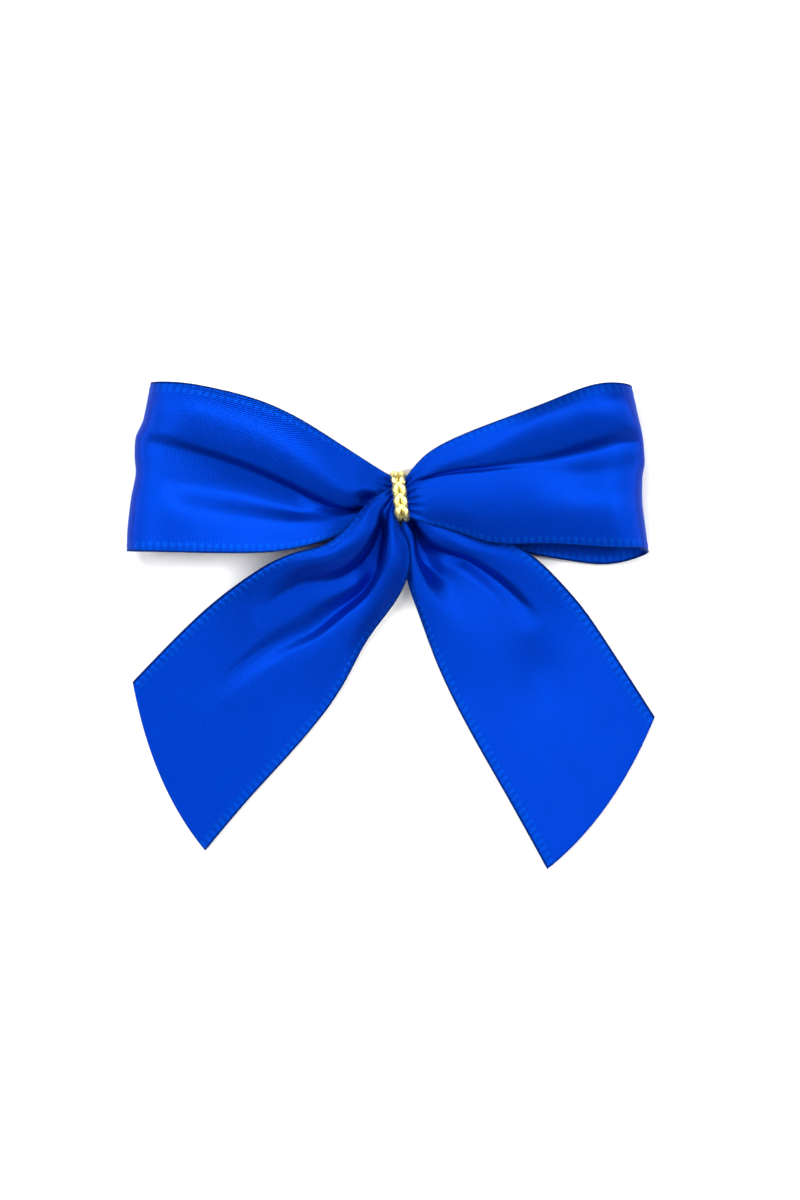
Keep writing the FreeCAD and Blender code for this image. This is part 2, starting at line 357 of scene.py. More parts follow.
class Nodes:
    """Short helper for building a node tree."""

    def __init__(self, name):
        self.material = bpy.data.materials.new(name)
        self.material.use_nodes = True
        self.tree = self.material.node_tree
        self.shader = self.tree.nodes["Principled BSDF"]

    def add(self, kind, inputs=None, **settings):
        node = self.tree.nodes.new(kind)
        for key, value in settings.items():
            setattr(node, key, value)
        for key, value in (inputs or {}).items():
            if isinstance(value, bpy.types.NodeSocket):
                self.tree.links.new(value, node.inputs[key])
            else:
                node.inputs[key].default_value = value
        return node

    def math(self, operation, first, second=0.0, third=0.0):
        return self.add("ShaderNodeMath", {0: first, 1: second, 2: third}, operation=operation).outputs[0]

    def mix(self, share, first, second):
        return self.add("ShaderNodeMix", {0: share, 6: first, 7: second}, data_type="RGBA").outputs[2]

    def link(self, output, name):
        self.tree.links.new(output, self.shader.inputs[name])

    def set(self, **values):
        for name, value in values.items():
            self.shader.inputs[name.replace("_", " ")].default_value = value


SATIN_FACE = (0.0, 0.027, 0.35, 1)
SATIN_EDGE = (0.0, 0.026, 0.315, 1)
SATIN_STITCH = (0.0, 0.042, 0.41, 1)
SATIN_RIM = (0.0, 0.009, 0.11, 1)
SATIN_SHINE = (0.06, 0.5, 1.0, 1.0)
TWILL_PITCH, TWILL_SLANT, WEFT_PITCH = 0.62, -1.7, 0.2


def satin_material():
    """Blue satin: slanting rows of floats over fine weft lines, with a stitched edge and a dark rim."""
    made = Nodes("blue_satin")
    half = RIBBON_WIDTH / 2 / FLAT_UNIT
    turn = 2 * math.pi * FLAT_UNIT
    flat = made.add("ShaderNodeUVMap", uv_map="flat").outputs[0]
    parts = made.add("ShaderNodeSeparateXYZ", {0: flat})
    along, across = parts.outputs[0], parts.outputs[1]
    edge = made.math("SUBTRACT", half, made.math("ABSOLUTE", made.math("SUBTRACT", across, half)))
    edge_mask = made.add("ShaderNodeMapRange", {0: edge, 1: 0.013, 2: 0.017, 3: 1.0, 4: 0.0}).outputs[0]
    rim_mask = made.add("ShaderNodeMapRange", {0: edge, 1: 0.0025, 2: 0.0042, 3: 1.0, 4: 0.0}).outputs[0]
    bead = made.math("COSINE", made.math("MULTIPLY", along, turn / STITCH_PITCH))
    bead = made.math("MULTIPLY", made.math("MULTIPLY_ADD", bead, 0.5, 0.5), edge_mask)
    slant = made.math("MULTIPLY_ADD", across, TWILL_SLANT, along)
    twill = made.math("SINE", made.math("MULTIPLY", slant, turn / TWILL_PITCH))
    weft = made.math("SINE", made.math("MULTIPLY", along, turn / WEFT_PITCH))
    cells = made.add("ShaderNodeMapping", {0: flat, 3: (260.0, 900.0, 1.0)}).outputs[0]
    threads = made.add("ShaderNodeTexNoise", {"Vector": cells, "Scale": 1.0, "Detail": 3.0}).outputs[0]
    soft = made.add("ShaderNodeTexNoise", {"Vector": flat, "Scale": 22.0, "Detail": 2.0}).outputs[0]
    body = made.math("MULTIPLY_ADD", threads, 0.44, made.math("MULTIPLY_ADD", soft, 0.12, 0.70))
    body = made.math("MULTIPLY_ADD", twill, 0.16, body)
    colour = made.mix(edge_mask, SATIN_FACE, SATIN_EDGE)
    colour = made.mix(bead, colour, SATIN_STITCH)
    colour = made.mix(rim_mask, colour, SATIN_RIM)
    scaled = made.add("ShaderNodeVectorMath", {0: colour, 3: body}, operation="SCALE").outputs[0]
    made.link(scaled, "Base Color")
    rough = made.math("MULTIPLY_ADD", threads, 0.18, 0.26)
    made.link(rough, "Roughness")
    height = made.math("MULTIPLY_ADD", twill, 0.7, made.math("MULTIPLY_ADD", threads, 1.2, weft))
    bump = made.add("ShaderNodeBump", {"Strength": 0.4, "Distance": 0.00003, "Height": height})
    made.link(bump.outputs[0], "Normal")
    made.set(Metallic=0.65, Specular_IOR_Level=0.3, Anisotropic=0.5)
    made.shader.inputs["Specular Tint"].default_value = SATIN_SHINE
    tangent = made.add("ShaderNodeTangent", direction_type="UV_MAP", uv_map="flat")
    made.link(tangent.outputs[0], "Tangent")
    return made.material


SATIN = satin_material()


# The four stretches of ribbon

LEFT_LOOP = loop_stretch(
    lower_front=[(-0.9, -2.7, 4.2), (-4.0, -3.9, 3.7), (-9.1, -5.9, 4.7), (-13.0, -7.2, 6.0),
                 (-18.2, -8.3, 7.0), (-25.0, -8.6, 8.0), (-33.0, -8.5, 8.5)],
    upper_front=[(-0.9, 2.7, 4.5), (-5.5, 5.6, 5.4), (-10.2, 8.6, 6.4), (-15.3, 11.7, 7.4),
                 (-22.0, 14.6, 8.2), (-27.4, 16.0, 8.6)],
    lower_back=[(-0.9, -2.6, 3.1), (-9.0, -5.6, 2.0), (-18.0, -7.9, 1.2), (-30.0, -8.2, 0.8)],
    upper_back=[(-0.9, 2.5, 3.3), (-5.5, 5.3, 2.6), (-10.2, 8.2, 2.1), (-22.0, 14.0, 1.2)],
    lower_fold=[(-37.2, -8.4, 8.5), (-39.9, -8.35, 7.4), (-41.0, -8.3, 4.7), (-39.9, -8.3, 2.0),
                (-37.2, -8.3, 0.9)],
    upper_fold=[(-33.6, 17.0, 8.6), (-36.3, 17.1, 7.5), (-37.4, 17.1, 4.8), (-36.3, 17.0, 2.0),
                (-33.6, 16.8, 0.9)],
    fold_wave=[(-1.0, 0.0), (-0.7, -0.4), (-0.4, -0.5), (-0.1, -0.3), (0.15, -0.9), (0.33, -1.1), (0.57, -0.3),
               (1.0, 0.0)],
    folds=[
        [(1, -0.88, 0.0), (8, -0.87, -0.2), (14, -0.86, -0.3), (20, -0.86, -0.3), (28, -0.88, -0.2),
         (44, -0.8, 0.0)],
        [(1, -0.66, 0.0), (8, -0.7, -0.6), (14, -0.62, -0.8), (20, -0.58, -0.9), (27, -0.56, -0.8),
         (35, -0.52, -0.3), (44, -0.35, 0.0)],
        [(1, -0.56, 0.0), (8, -0.56, -1.0), (13, -0.42, -1.7), (18, -0.32, -2.1), (25, -0.22, -2.1),
         (33, -0.16, -1.5), (38, -0.1, -0.5), (43, 0.0, 0.0)],
        [(1, -0.45, 0.0), (7, -0.45, -2.0), (13, -0.24, -2.2), (18, -0.05, -1.7), (25, 0.09, -1.5),
         (33, 0.2, -1.2), (38, 0.26, -0.5), (43, 0.28, 0.0)],
        [(1, -0.35, 0.0), (7, -0.36, 0.1), (13, -0.13, 0.0), (18, 0.05, -0.1), (25, 0.19, -0.2),
         (33, 0.32, -0.1), (38, 0.42, 0.1), (43, 0.48, 0.0)],
        [(1, 0.1, 0.0), (7, 0.1, 0.9), (13, 0.35, 1.0), (18, 0.5, 0.9), (25, 0.62, 0.8), (34, 0.7, 0.7),
         (43, 0.7, 0.0)],
    ],
    dents=[(4.6, -0.15, -1.6, 1.3, 0.16)],
    crown=0.5,
)

RIGHT_LOOP = loop_stretch(
    lower_front=[(0.9, -2.9, 5.3), (3.6, -3.9, 5.1), (8.3, -5.2, 5.1), (13.3, -6.9, 5.4), (20.0, -7.2, 6.1),
                 (27.0, -7.5, 7.6)],
    upper_front=[(0.9, 2.7, 5.7), (3.2, 5.6, 6.4), (8.0, 8.6, 7.1), (15.9, 11.7, 8.1), (23.5, 14.6, 8.7)],
    lower_back=[(0.9, -2.6, 3.1), (8.0, -5.0, 2.1), (19.8, -8.6, 1.2), (26.5, -9.8, 0.8), (30.5, -10.2, 0.8)],
    upper_back=[(0.9, 2.4, 3.3), (8.0, 7.5, 2.2), (16.0, 10.5, 1.5), (24.0, 12.5, 1.1)],
    lower_fold=[(33.0, -7.9, 8.5), (36.2, -8.0, 7.3), (37.3, -8.4, 4.7), (36.2, -9.1, 2.0), (34.0, -9.8, 1.0)],
    upper_fold=[(31.0, 16.9, 8.7), (33.8, 16.8, 7.4), (34.8, 16.4, 4.8), (33.8, 15.6, 2.0), (31.0, 14.8, 1.0)],
    fold_wave=[(-1.0, 0.0), (-0.75, -0.1), (-0.45, -0.2), (-0.1, 0.2), (0.1, 0.8), (0.33, 0.9), (0.7, 0.4),
               (1.0, 0.0)],
    folds=[
        [(1, -0.5, 0.0), (10, -0.5, 0.5), (22, -0.5, 0.3), (32, -0.5, 0.5), (41, -0.45, 0.0)],
        [(1, 0.35, 0.0), (6, 0.28, 0.1), (16, 0.2, 0.0), (24, 0.0, -0.3), (30, -0.1, -0.5), (35, -0.1, -0.4),
         (41, 0.0, 0.0)],
        [(1, 0.5, 0.0), (5, 0.36, -0.5), (12, 0.31, -0.5), (19, 0.25, -0.4), (24, 0.2, -0.8), (30, 0.2, -1.7),
         (35, 0.27, -1.5), (41, 0.3, 0.0)],
        [(1, 0.6, 0.0), (5, 0.43, 0.15), (12, 0.38, 0.1), (24, 0.33, 0.0), (30, 0.38, -0.2), (35, 0.46, 0.0),
         (41, 0.5, 0.0)],
        [(1, 0.75, 0.0), (8, 0.58, 0.35), (14, 0.62, 0.4), (24, 0.78, 0.9), (34, 0.74, 0.8), (41, 0.7, 0.0)],
    ],
    dents=[],
    crown=0.5,
)

LEFT_TAIL = tail_stretch(
    first_edge=[(-0.9, 1.4, 5.7), (-2.6, 0.6, 6.2), (-6.1, -2.4, 6.9), (-8.3, -5.0, 7.2), (-11.4, -7.3, 7.0),
                (-15.2, -8.3, 6.0), (-19.2, -9.8, 4.6), (-23.9, -12.7, 3.0), (-27.9, -15.7, 1.9),
                (-34.4, -21.7, 0.9), (-40.5, -28.0, 0.6)],
    second_edge=[(-0.9, -2.9, 5.4), (0.2, -5.2, 5.0), (1.2, -7.5, 4.9), (1.2, -11.6, 4.3), (-1.0, -16.2, 2.4),
                 (-5.0, -21.7, 1.3), (-8.2, -27.7, 0.8), (-14.8, -36.8, 0.5), (-23.2, -46.1, 0.4),
                 (-29.5, -53.6, 0.4)],
    folds=[
        [(1, -0.7, 0.0), (5, -0.8, 0.9), (9, -0.66, 1.3), (16, -0.7, 1.2), (24, -0.8, 0.4), (32, -0.8, 0.0)],
        [(1, -0.5, 0.0), (4, -0.58, 0.8), (7, -0.42, 0.9), (12, -0.4, 0.8), (16, -0.45, 0.5), (24, -0.65, -0.2),
         (33, -0.68, 0.0)],
        [(1, -0.35, 0.0), (4, -0.42, -0.3), (7, -0.25, -4.2), (12, -0.17, -3.6), (16, -0.2, -1.9),
         (24, -0.5, -1.0), (33, -0.55, 0.0)],
        [(1, -0.25, 0.0), (4, -0.32, -0.3), (7, -0.14, -4.2), (12, 0.03, -3.4), (16, 0.05, -1.6),
         (24, -0.15, -0.7), (33, -0.3, -0.2), (45, -0.35, 0.0)],
        [(1, -0.12, 0.0), (4, -0.2, -0.6), (7, -0.02, -3.0), (12, 0.2, -3.1), (16, 0.28, -2.4), (24, 0.16, -1.4),
         (32, -0.08, -0.9), (40, -0.22, -0.4), (50, -0.28, 0.0)],
        [(1, 0.0, 0.0), (4, -0.02, 0.4), (7, 0.14, 0.5), (12, 0.36, 0.5), (16, 0.46, 0.3), (24, 0.36, 0.1),
         (32, 0.12, 0.0), (42, 0.0, 0.0)],
        [(1, 0.3, 0.0), (4, 0.15, 0.8), (7, 0.36, 1.1), (12, 0.6, 1.1), (16, 0.68, 0.8), (24, 0.6, 0.5),
         (32, 0.4, 0.3), (42, 0.3, 0.0)],
    ],
    dents=[(33.0, 0.75, -0.35, 6.0, 0.25)],
    cut_bulge=2.0,
)

RIGHT_TAIL = tail_stretch(
    first_edge=[(0.9, -2.9, 4.2), (0.3, -4.6, 4.0), (0.5, -7.5, 3.4), (0.9, -11.4, 2.9), (2.6, -17.0, 2.1),
                (5.4, -24.7, 1.3), (9.7, -33.8, 0.95), (16.5, -45.9, 0.7), (22.3, -56.4, 0.5)],
    second_edge=[(0.9, 1.6, 4.5), (6.0, -1.6, 4.4), (13.0, -5.2, 3.9), (19.7, -8.7, 3.1), (24.0, -12.6, 2.2),
                 (27.2, -16.2, 1.6), (31.1, -21.7, 1.2), (35.0, -27.7, 0.9), (38.6, -33.3, 0.6)],
    folds=[
        [(1, -0.8, 0.0), (5, -0.56, 0.5), (8, -0.74, 0.7), (13, -0.82, 0.6), (20, -0.88, 0.2),
         (28, -0.88, 0.0)],
        [(1, -0.65, 0.0), (5, -0.42, 0.4), (8, -0.56, 0.5), (13, -0.6, 0.3), (20, -0.6, 0.1), (28, -0.7, 0.0)],
        [(1, -0.45, 0.0), (5, -0.29, -3.4), (8, -0.40, -3.4), (12, -0.27, -2.8), (16, -0.14, -1.2),
         (22, -0.1, -0.3), (28, -0.1, 0.0)],
        [(1, -0.3, 0.0), (5, -0.2, -3.2), (8, -0.24, -3.3), (12, -0.04, -2.4), (16, 0.12, -0.9),
         (24, 0.2, -0.3), (30, 0.2, 0.0)],
        [(1, -0.15, 0.0), (5, -0.1, -2.6), (8, -0.05, -2.2), (12, 0.2, -2.2), (16, 0.37, -1.9),
         (24, 0.43, -1.2), (31, 0.45, 0.0)],
        [(1, 0.0, 0.0), (5, 0.05, 0.0), (8, 0.1, 0.1), (12, 0.3, 0.2), (16, 0.47, 0.2), (24, 0.55, 0.1),
         (31, 0.6, 0.0)],
        [(1, 0.4, 0.0), (7, 0.35, 0.6), (13, 0.52, 0.6), (20, 0.76, 0.4), (26, 0.82, 0.2), (32, 0.85, 0.0)],
    ],
    dents=[(36.0, 0.12, -0.6, 5.0, 0.28), (22.0, -0.45, 0.3, 8.0, 0.3)],
    cut_bulge=2.0,
)

# Each stretch's shape, whether it is a loop, whether its grid is turned over, and its nodes
STRETCHES = {
    "left_loop": (LEFT_LOOP, True, False, ["left_loop", "middle_crossing"]),
    "right_loop": (RIGHT_LOOP, True, True, ["right_loop", "back_crossing"]),
    "left_tail": (LEFT_TAIL, False, False, ["left_tail", "front_crossing"]),
    "right_tail": (RIGHT_TAIL, False, False, ["right_tail"]),
}
BLEND_BEFORE, BLEND_SPAN = 1.0, 8.0


def blend_line(body):
    """Start and end of the bend: straight away from the hinge line, in plan."""
    entry = joint(body + "_lift")
    axis = Vector(entry["axis"])
    away = axis.cross(Vector((0, 0, 1)))
    away.z = 0
    away.normalize()
    place = Vector(entry["pos_m"])
    lift = axis.cross(away).z
    if lift < 0:
        away.negate()
    return place - away * BLEND_BEFORE * MM, place + away * BLEND_SPAN * MM


# The gathered layers inside the tie: each one's height and the phase of its pleats

LAYER_HALF_LENGTH = 0.95
LAYER_HALF_WIDTH = 3.05
LAYER_ROWS = 9
LAYER_PLEATS, PLEAT_STEPS = 9, 24
PLEAT_HEIGHT, PLEAT_CHANGE, PLEAT_CROWDING = 0.34, 0.06, 0.10
LAYER_SQUEEZE = 0.05
LAYERS = {"back_crossing": (3.2, 0.3), "middle_crossing": (4.4, 1.7), "front_crossing": (5.6, 2.9)}


def mesh_piece(name, vertices, faces):
    mesh = bpy.data.meshes.new(name)
    mesh.from_pydata([tuple(v) for v in vertices], [], [tuple(f) for f in faces])
    mesh.validate()
    mesh.polygons.foreach_set("use_smooth", np.ones(len(mesh.polygons), dtype=bool))
    piece = bpy.data.objects.new(name, mesh)
    bpy.context.scene.collection.objects.link(piece)
    return piece


def pleated_layer(name, level, phase):
    """One layer of ribbon squeezed into pleats, from one side of the tie to the other."""
    along = np.linspace(-LAYER_HALF_LENGTH, LAYER_HALF_LENGTH, LAYER_ROWS)[:, None]
    part = np.linspace(0, 1, PLEAT_STEPS * LAYER_PLEATS + 1)[None, :]
    turn = 2 * np.pi * LAYER_PLEATS * part + phase
    squeeze = 1 - LAYER_SQUEEZE * np.cos(along / LAYER_HALF_LENGTH * np.pi / 2)
    y = LAYER_HALF_WIDTH * squeeze * (2 * part - 1) + PLEAT_CROWDING * np.sin(2 * turn)
    height = PLEAT_HEIGHT + PLEAT_CHANGE * np.sin(5 * part + phase)
    z = level + height * np.sin(turn + 0.2 * along)
    run = np.broadcast_to(along, y.shape)
    wide = np.broadcast_to(part * RIBBON_WIDTH, y.shape)
    return np.stack([run, y, z, run, wide], axis=-1)


def layer_piece(name, level, phase):
    data = pleated_layer(name, level, phase)
    points = data[..., :3]
    normals = grid_normals(points)
    piece = surface_piece("gathered_" + name, points + normals * RIBBON_THICKNESS / 2,
                          points - normals * RIBBON_THICKNESS / 2, data[..., 3], data[..., 4], False)
    piece.data.materials.append(SATIN)
    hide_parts(name)
    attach(piece, "knot")
    return piece


for name, (shape, is_loop, flip, nodes) in STRETCHES.items():
    piece = ribbon_mesh("ribbon_" + name, shape, flip)
    piece.data.materials.append(SATIN)
    start, end = blend_line(name)
    layers = [layer_piece(layer, *LAYERS[layer]) for layer in nodes[1:]]
    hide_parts(nodes[0])
    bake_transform(piece)


# The gold tie: a flat chain of interlocked stitches

STITCH_LENGTH = 1.72
STRAND_RADIUS = 0.56
TIE_LEAN = -0.11
TIE_LOW, TIE_HIGH, TIE_HALF = 2.30, 6.62, 3.12
TIE_CORNER = 1.35
TIE_SAMPLES, CORNER_STEPS = 400, 12
LEG_LENGTH, LEG_STEPS = 2.55, 30
LEG_APART, LEG_SWELL = 0.13, 0.46
LEG_LIFT, LEG_SINK = 0.26, 0.20
LEG_LOBES, LEG_TWIST = 5, 2.4

KNOT_LEVEL, KNOT_STRAND = 1.63, 0.22
KNOT_REACH, KNOT_LOBE, KNOT_WEAVE = 0.62, 0.34, 0.17
CORD_LOBES, CORD_TWIST = 4, 2.2
END_LEVEL, END_STRAND = 1.58, 0.19
END_START, END_LENGTH, END_TURNS = 0.7, 4.1, 3
END_DIRECTIONS = ((-160.0, 0.5), (-20.0, -0.4))


def gold_material():
    made = Nodes("gold_cord")
    flat = made.add("ShaderNodeUVMap", uv_map="flat").outputs[0]
    fibre = made.add("ShaderNodeMapping", {0: flat, 3: (30.0, 420.0, 1.0)}).outputs[0]
    grain = made.add("ShaderNodeTexNoise", {"Vector": fibre, "Scale": 1.0, "Detail": 4.0}).outputs[0]
    parts = made.add("ShaderNodeSeparateXYZ", {0: flat})
    turns = made.math("MULTIPLY_ADD", parts.outputs[0], 55.0, made.math("MULTIPLY", parts.outputs[1], 6.0))
    twist = made.math("SINE", made.math("MULTIPLY", turns, 2 * math.pi))
    # Random tone from the filament grain, plus painted highlight on the crests of the twist and painted shade in
    # the grooves between them.
    level = made.math("MULTIPLY_ADD", grain, 0.6, made.math("MULTIPLY_ADD", twist, 0.16, 0.34))
    colour = made.mix(level, (0.50, 0.37, 0.06, 1), (1.0, 0.92, 0.42, 1))
    made.link(colour, "Base Color")
    made.link(made.math("MULTIPLY_ADD", grain, 0.25, 0.22), "Roughness")
    height = made.math("MULTIPLY_ADD", grain, 0.7, twist)
    bump = made.add("ShaderNodeBump", {"Strength": 0.5, "Distance": 0.00004, "Height": height})
    made.link(bump.outputs[0], "Normal")
    made.set(Metallic=1.0)
    return made.material


def tie_loop(count):
    """Points round the bundle, evenly spaced, with their outward directions, in the plane across the ribbon."""
    corner = TIE_CORNER
    centre_y, middle = TIE_HALF - corner, (TIE_LOW + TIE_HIGH) / 2
    centre_z = (TIE_HIGH - TIE_LOW) / 2 - corner
    outline = []
    for quarter, (side, level) in enumerate([(1, 1), (-1, 1), (-1, -1), (1, -1)]):
        for step in range(CORNER_STEPS + 1):
            angle = math.pi / 2 * (quarter + step / CORNER_STEPS)
            outline.append((side * centre_y + corner * math.cos(angle),
                            middle + level * centre_z + corner * math.sin(angle)))
    outline.append(outline[0])
    outline = np.array(outline)
    length = run_lengths(outline)
    wanted = np.linspace(0, length[-1], count, endpoint=False)
    points = np.stack([np.interp(wanted, length, outline[:, k]) for k in range(2)], axis=1)
    ahead = np.roll(points, -1, axis=0) - np.roll(points, 1, axis=0)
    ahead /= np.linalg.norm(ahead, axis=1, keepdims=True)
    outward = np.stack([ahead[:, 1], -ahead[:, 0]], axis=1)
    return points, outward, length[-1]


def strand(centres, radius, lobes, twist, closed):
    """A twisted multi-filament strand round a line of centres: rings of vertices, joined."""
    count = len(centres)
    sides = 6 * lobes
    thick = np.broadcast_to(radius, (count,))
    if closed:
        heading = np.roll(centres, -1, axis=0) - np.roll(centres, 1, axis=0)
    else:
        heading = np.gradient(centres, axis=0)
    heading /= np.linalg.norm(heading, axis=1, keepdims=True)
    reference = np.array([0.03, 0.11, 1.0])
    side = np.cross(heading, reference)
    side /= np.linalg.norm(side, axis=1, keepdims=True)
    up = np.cross(side, heading)
    length = run_lengths(centres)
    rings, flat = [], []
    for k in range(count):
        angle = np.linspace(0, 2 * np.pi, sides, endpoint=False)
        turn = twist * length[k]
        reach = thick[k] * (0.88 + 0.15 * np.abs(np.cos(lobes / 2 * (angle + turn))))
        sideways, upwards = (reach * np.cos(angle))[:, None], (reach * np.sin(angle))[:, None]
        rings.append(centres[k] + side[k] * sideways + up[k] * upwards)
        flat.append(np.stack([np.full(sides, length[k] / FLAT_UNIT), angle / (2 * np.pi)], axis=-1))
    vertices = np.concatenate(rings)
    faces = []
    last = count if closed else count - 1
    for k in range(last):
        a, b = k * sides, ((k + 1) % count) * sides
        faces += [(a + j, a + (j + 1) % sides, b + (j + 1) % sides, b + j) for j in range(sides)]
    if not closed:
        faces.append(tuple(reversed(range(sides))))
        faces.append(tuple(range((count - 1) * sides, count * sides)))
    return vertices, faces, np.concatenate(flat)


def joined_strands(name, strands):
    vertices, faces, flats, start = [], [], [], 0
    for some_vertices, some_faces, some_flat in strands:
        vertices.append(some_vertices)
        flats.append(some_flat)
        faces += [tuple(index + start for index in face) for face in some_faces]
        start += len(some_vertices)
    piece = mesh_piece(name, np.concatenate(vertices) * MM, faces)
    layer = piece.data.uv_layers.new(name="flat")
    flat = np.concatenate(flats)
    indices = np.zeros(len(piece.data.loops), dtype=np.int32)
    piece.data.loops.foreach_get("vertex_index", indices)
    layer.data.foreach_set("uv", flat[indices].astype(np.float32).ravel())
    return piece


def chain_leg(place, at, side):
    """One leg of a chain stitch: it leaves the middle, swells outwards and goes in under the next stitch."""
    part = np.linspace(0, 1, LEG_STEPS)
    run = at + LEG_LENGTH * part
    lateral = side * (LEG_APART + LEG_SWELL * np.sin(np.pi * (0.06 + 0.80 * part)))
    lift = LEG_LIFT * np.sin(np.pi * part) - LEG_SINK * part
    thick = STRAND_RADIUS * (0.55 + 0.45 * np.sin(np.pi * np.clip(0.12 + 0.80 * part, 0, 1)))
    return strand(place(run, lateral, lift), thick, LEG_LOBES, LEG_TWIST * side, False)


def tie_piece():
    """The chain of stitches, run once round the bundle and leaning a little to one side."""
    points, outward, length = tie_loop(TIE_SAMPLES)
    links = int(round(length / STITCH_LENGTH))
    pitch = length / links

    def place(run, lateral, lift):
        index = np.mod(run / length, 1.0) * TIE_SAMPLES
        low = np.floor(index).astype(int) % TIE_SAMPLES
        high = (low + 1) % TIE_SAMPLES
        share = (index - np.floor(index))[:, None]
        base = points[low] * (1 - share) + points[high] * share
        out = outward[low] * (1 - share) + outward[high] * share
        where = base + out * lift[:, None]
        return np.stack([lateral + TIE_LEAN * where[:, 0], where[:, 0], where[:, 1]], axis=1)

    legs = [chain_leg(place, k * pitch, side) for k in range(links) for side in (-1, 1)]
    return joined_strands("gold_tie", legs)


def knot_piece():
    """The flat knot behind the bundle and the two short trimmed ends."""
    turn = np.linspace(0, 2 * np.pi, 120, endpoint=False)
    reach = KNOT_REACH + KNOT_LOBE * np.cos(3 * turn)
    level = KNOT_LEVEL + KNOT_WEAVE * np.sin(3 * turn)
    knot = np.stack([reach * np.cos(2 * turn), reach * np.sin(2 * turn), level], axis=1)
    strands = [strand(knot, KNOT_STRAND, CORD_LOBES, CORD_TWIST, True)]
    for degrees, bend in END_DIRECTIONS:
        part = np.linspace(0, 1, 40)
        run = END_START + END_LENGTH * part
        lateral = bend * np.sin(np.pi * part) * part
        angle = math.radians(degrees)
        for side in (-1, 1):
            away = lateral + side * (0.17 + 0.10 * np.sin(2 * np.pi * part * END_TURNS) * 0.5)
            centres = np.stack([run * math.cos(angle) - away * math.sin(angle),
                                run * math.sin(angle) + away * math.cos(angle),
                                END_LEVEL + 0.06 * side * np.cos(2 * np.pi * part * END_TURNS)], axis=1)
            strands.append(strand(centres, END_STRAND, CORD_LOBES, CORD_TWIST, False))
    return joined_strands("gold_knot", strands)


GOLD = gold_material()
for piece, node in ((tie_piece(), "tie_band"), (knot_piece(), "tie_knot")):
    piece.data.materials.append(GOLD)
    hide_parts(node)
    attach(piece, "knot")


# The self-adhesive foam pad, its two films and the release liner

PAD_LENGTH, PAD_WIDTH, PAD_CORNER, PAD_TURN = 12.0, 7.6, 1.0, math.radians(13.0)
PAD_POINTS, PAD_LEVELS, PAD_RINGS = 220, 9, 14
PAD_WAIST, CELL_PIT, FINE_PIT = 0.012, 0.014, 0.006


def pad_outline(count):
    """Points round the pad's edge, evenly spaced, anticlockwise, before it is turned."""
    corners = []
    for quarter, (x, y) in enumerate([(1, 1), (-1, 1), (-1, -1), (1, -1)]):
        for step in range(9):
            angle = math.pi / 2 * (quarter + step / 8)
            corners.append((x * (PAD_LENGTH / 2 - PAD_CORNER) + PAD_CORNER * math.cos(angle),
                            y * (PAD_WIDTH / 2 - PAD_CORNER) + PAD_CORNER * math.sin(angle)))
    corners.append(corners[0])
    corners = np.array(corners)
    length = run_lengths(corners)
    wanted = np.linspace(0, length[-1], count, endpoint=False)
    return np.stack([np.interp(wanted, length, corners[:, k]) for k in range(2)], axis=1)


def foam_pad():
    """A die-cut foam pad: flat top and bottom, slightly waisted sides with open cells."""
    low, high = (corner[2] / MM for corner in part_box("foam_pad"))
    count, levels, rings = PAD_POINTS, PAD_LEVELS, PAD_RINGS
    outline = pad_outline(count)
    rows = []
    for ring in range(1, rings + 1):
        rows.append(np.column_stack([outline * ring / rings, np.full(count, low)]))
    for level in range(1, levels):
        part = level / levels
        waist = 1 - PAD_WAIST * math.sin(math.pi * part)
        rows.append(np.column_stack([outline * waist, np.full(count, low + (high - low) * part)]))
    for ring in range(rings, 0, -1):
        rows.append(np.column_stack([outline * ring / rings, np.full(count, high)]))
    cos, sin = math.cos(PAD_TURN), math.sin(PAD_TURN)
    vertices = []
    for number, row in enumerate(rows):
        side = rings <= number < rings + levels - 1
        for x, y, z in row:
            if side:
                cell = noise.noise(Vector((x * 2.6, y * 2.6, z * 5.0)))
                fine = abs(noise.noise(Vector((x * 7, y * 7, z * 9))))
                pit = 1 - CELL_PIT * max(0.0, cell) - FINE_PIT * fine
                x, y = x * pit, y * pit
            vertices.append((x * cos - y * sin, x * sin + y * cos, z))
    vertices += [(0.0, 0.0, low), (0.0, 0.0, high)]
    faces = []
    for number in range(len(rows) - 1):
        a, b = number * count, (number + 1) * count
        faces += [(a + k, b + k, b + (k + 1) % count, a + (k + 1) % count) for k in range(count)]
    faces = [tuple(reversed(face)) for face in faces]
    last = (len(rows) - 1) * count
    faces += [(len(vertices) - 2, (k + 1) % count, k) for k in range(count)]
    faces += [(len(vertices) - 1, last + k, last + (k + 1) % count) for k in range(count)]
    return mesh_piece("pad", np.array(vertices) * MM, faces)


def cellular_material():
    made = Nodes("white_foam")
    place = made.add("ShaderNodeTexCoord").outputs["Object"]
    cells = made.add("ShaderNodeTexVoronoi", {"Vector": place, "Scale": 4200.0}).outputs[0]
    patches = made.add("ShaderNodeTexNoise", {"Vector": place, "Scale": 600.0, "Detail": 3.0}).outputs[0]
    level = made.math("MULTIPLY_ADD", cells, -0.5, made.math("MULTIPLY_ADD", patches, 0.35, 0.95))
    colour = made.mix(level, (0.60, 0.59, 0.54, 1), (0.90, 0.89, 0.85, 1))
    made.link(colour, "Base Color")
    made.link(made.math("MULTIPLY_ADD", patches, 0.2, 0.75), "Roughness")
    bump = made.add("ShaderNodeBump", {"Strength": 0.7, "Distance": 0.00006, "Height": cells})
    made.link(bump.outputs[0], "Normal")
    made.set(Specular_IOR_Level=0.25)
    return made.material


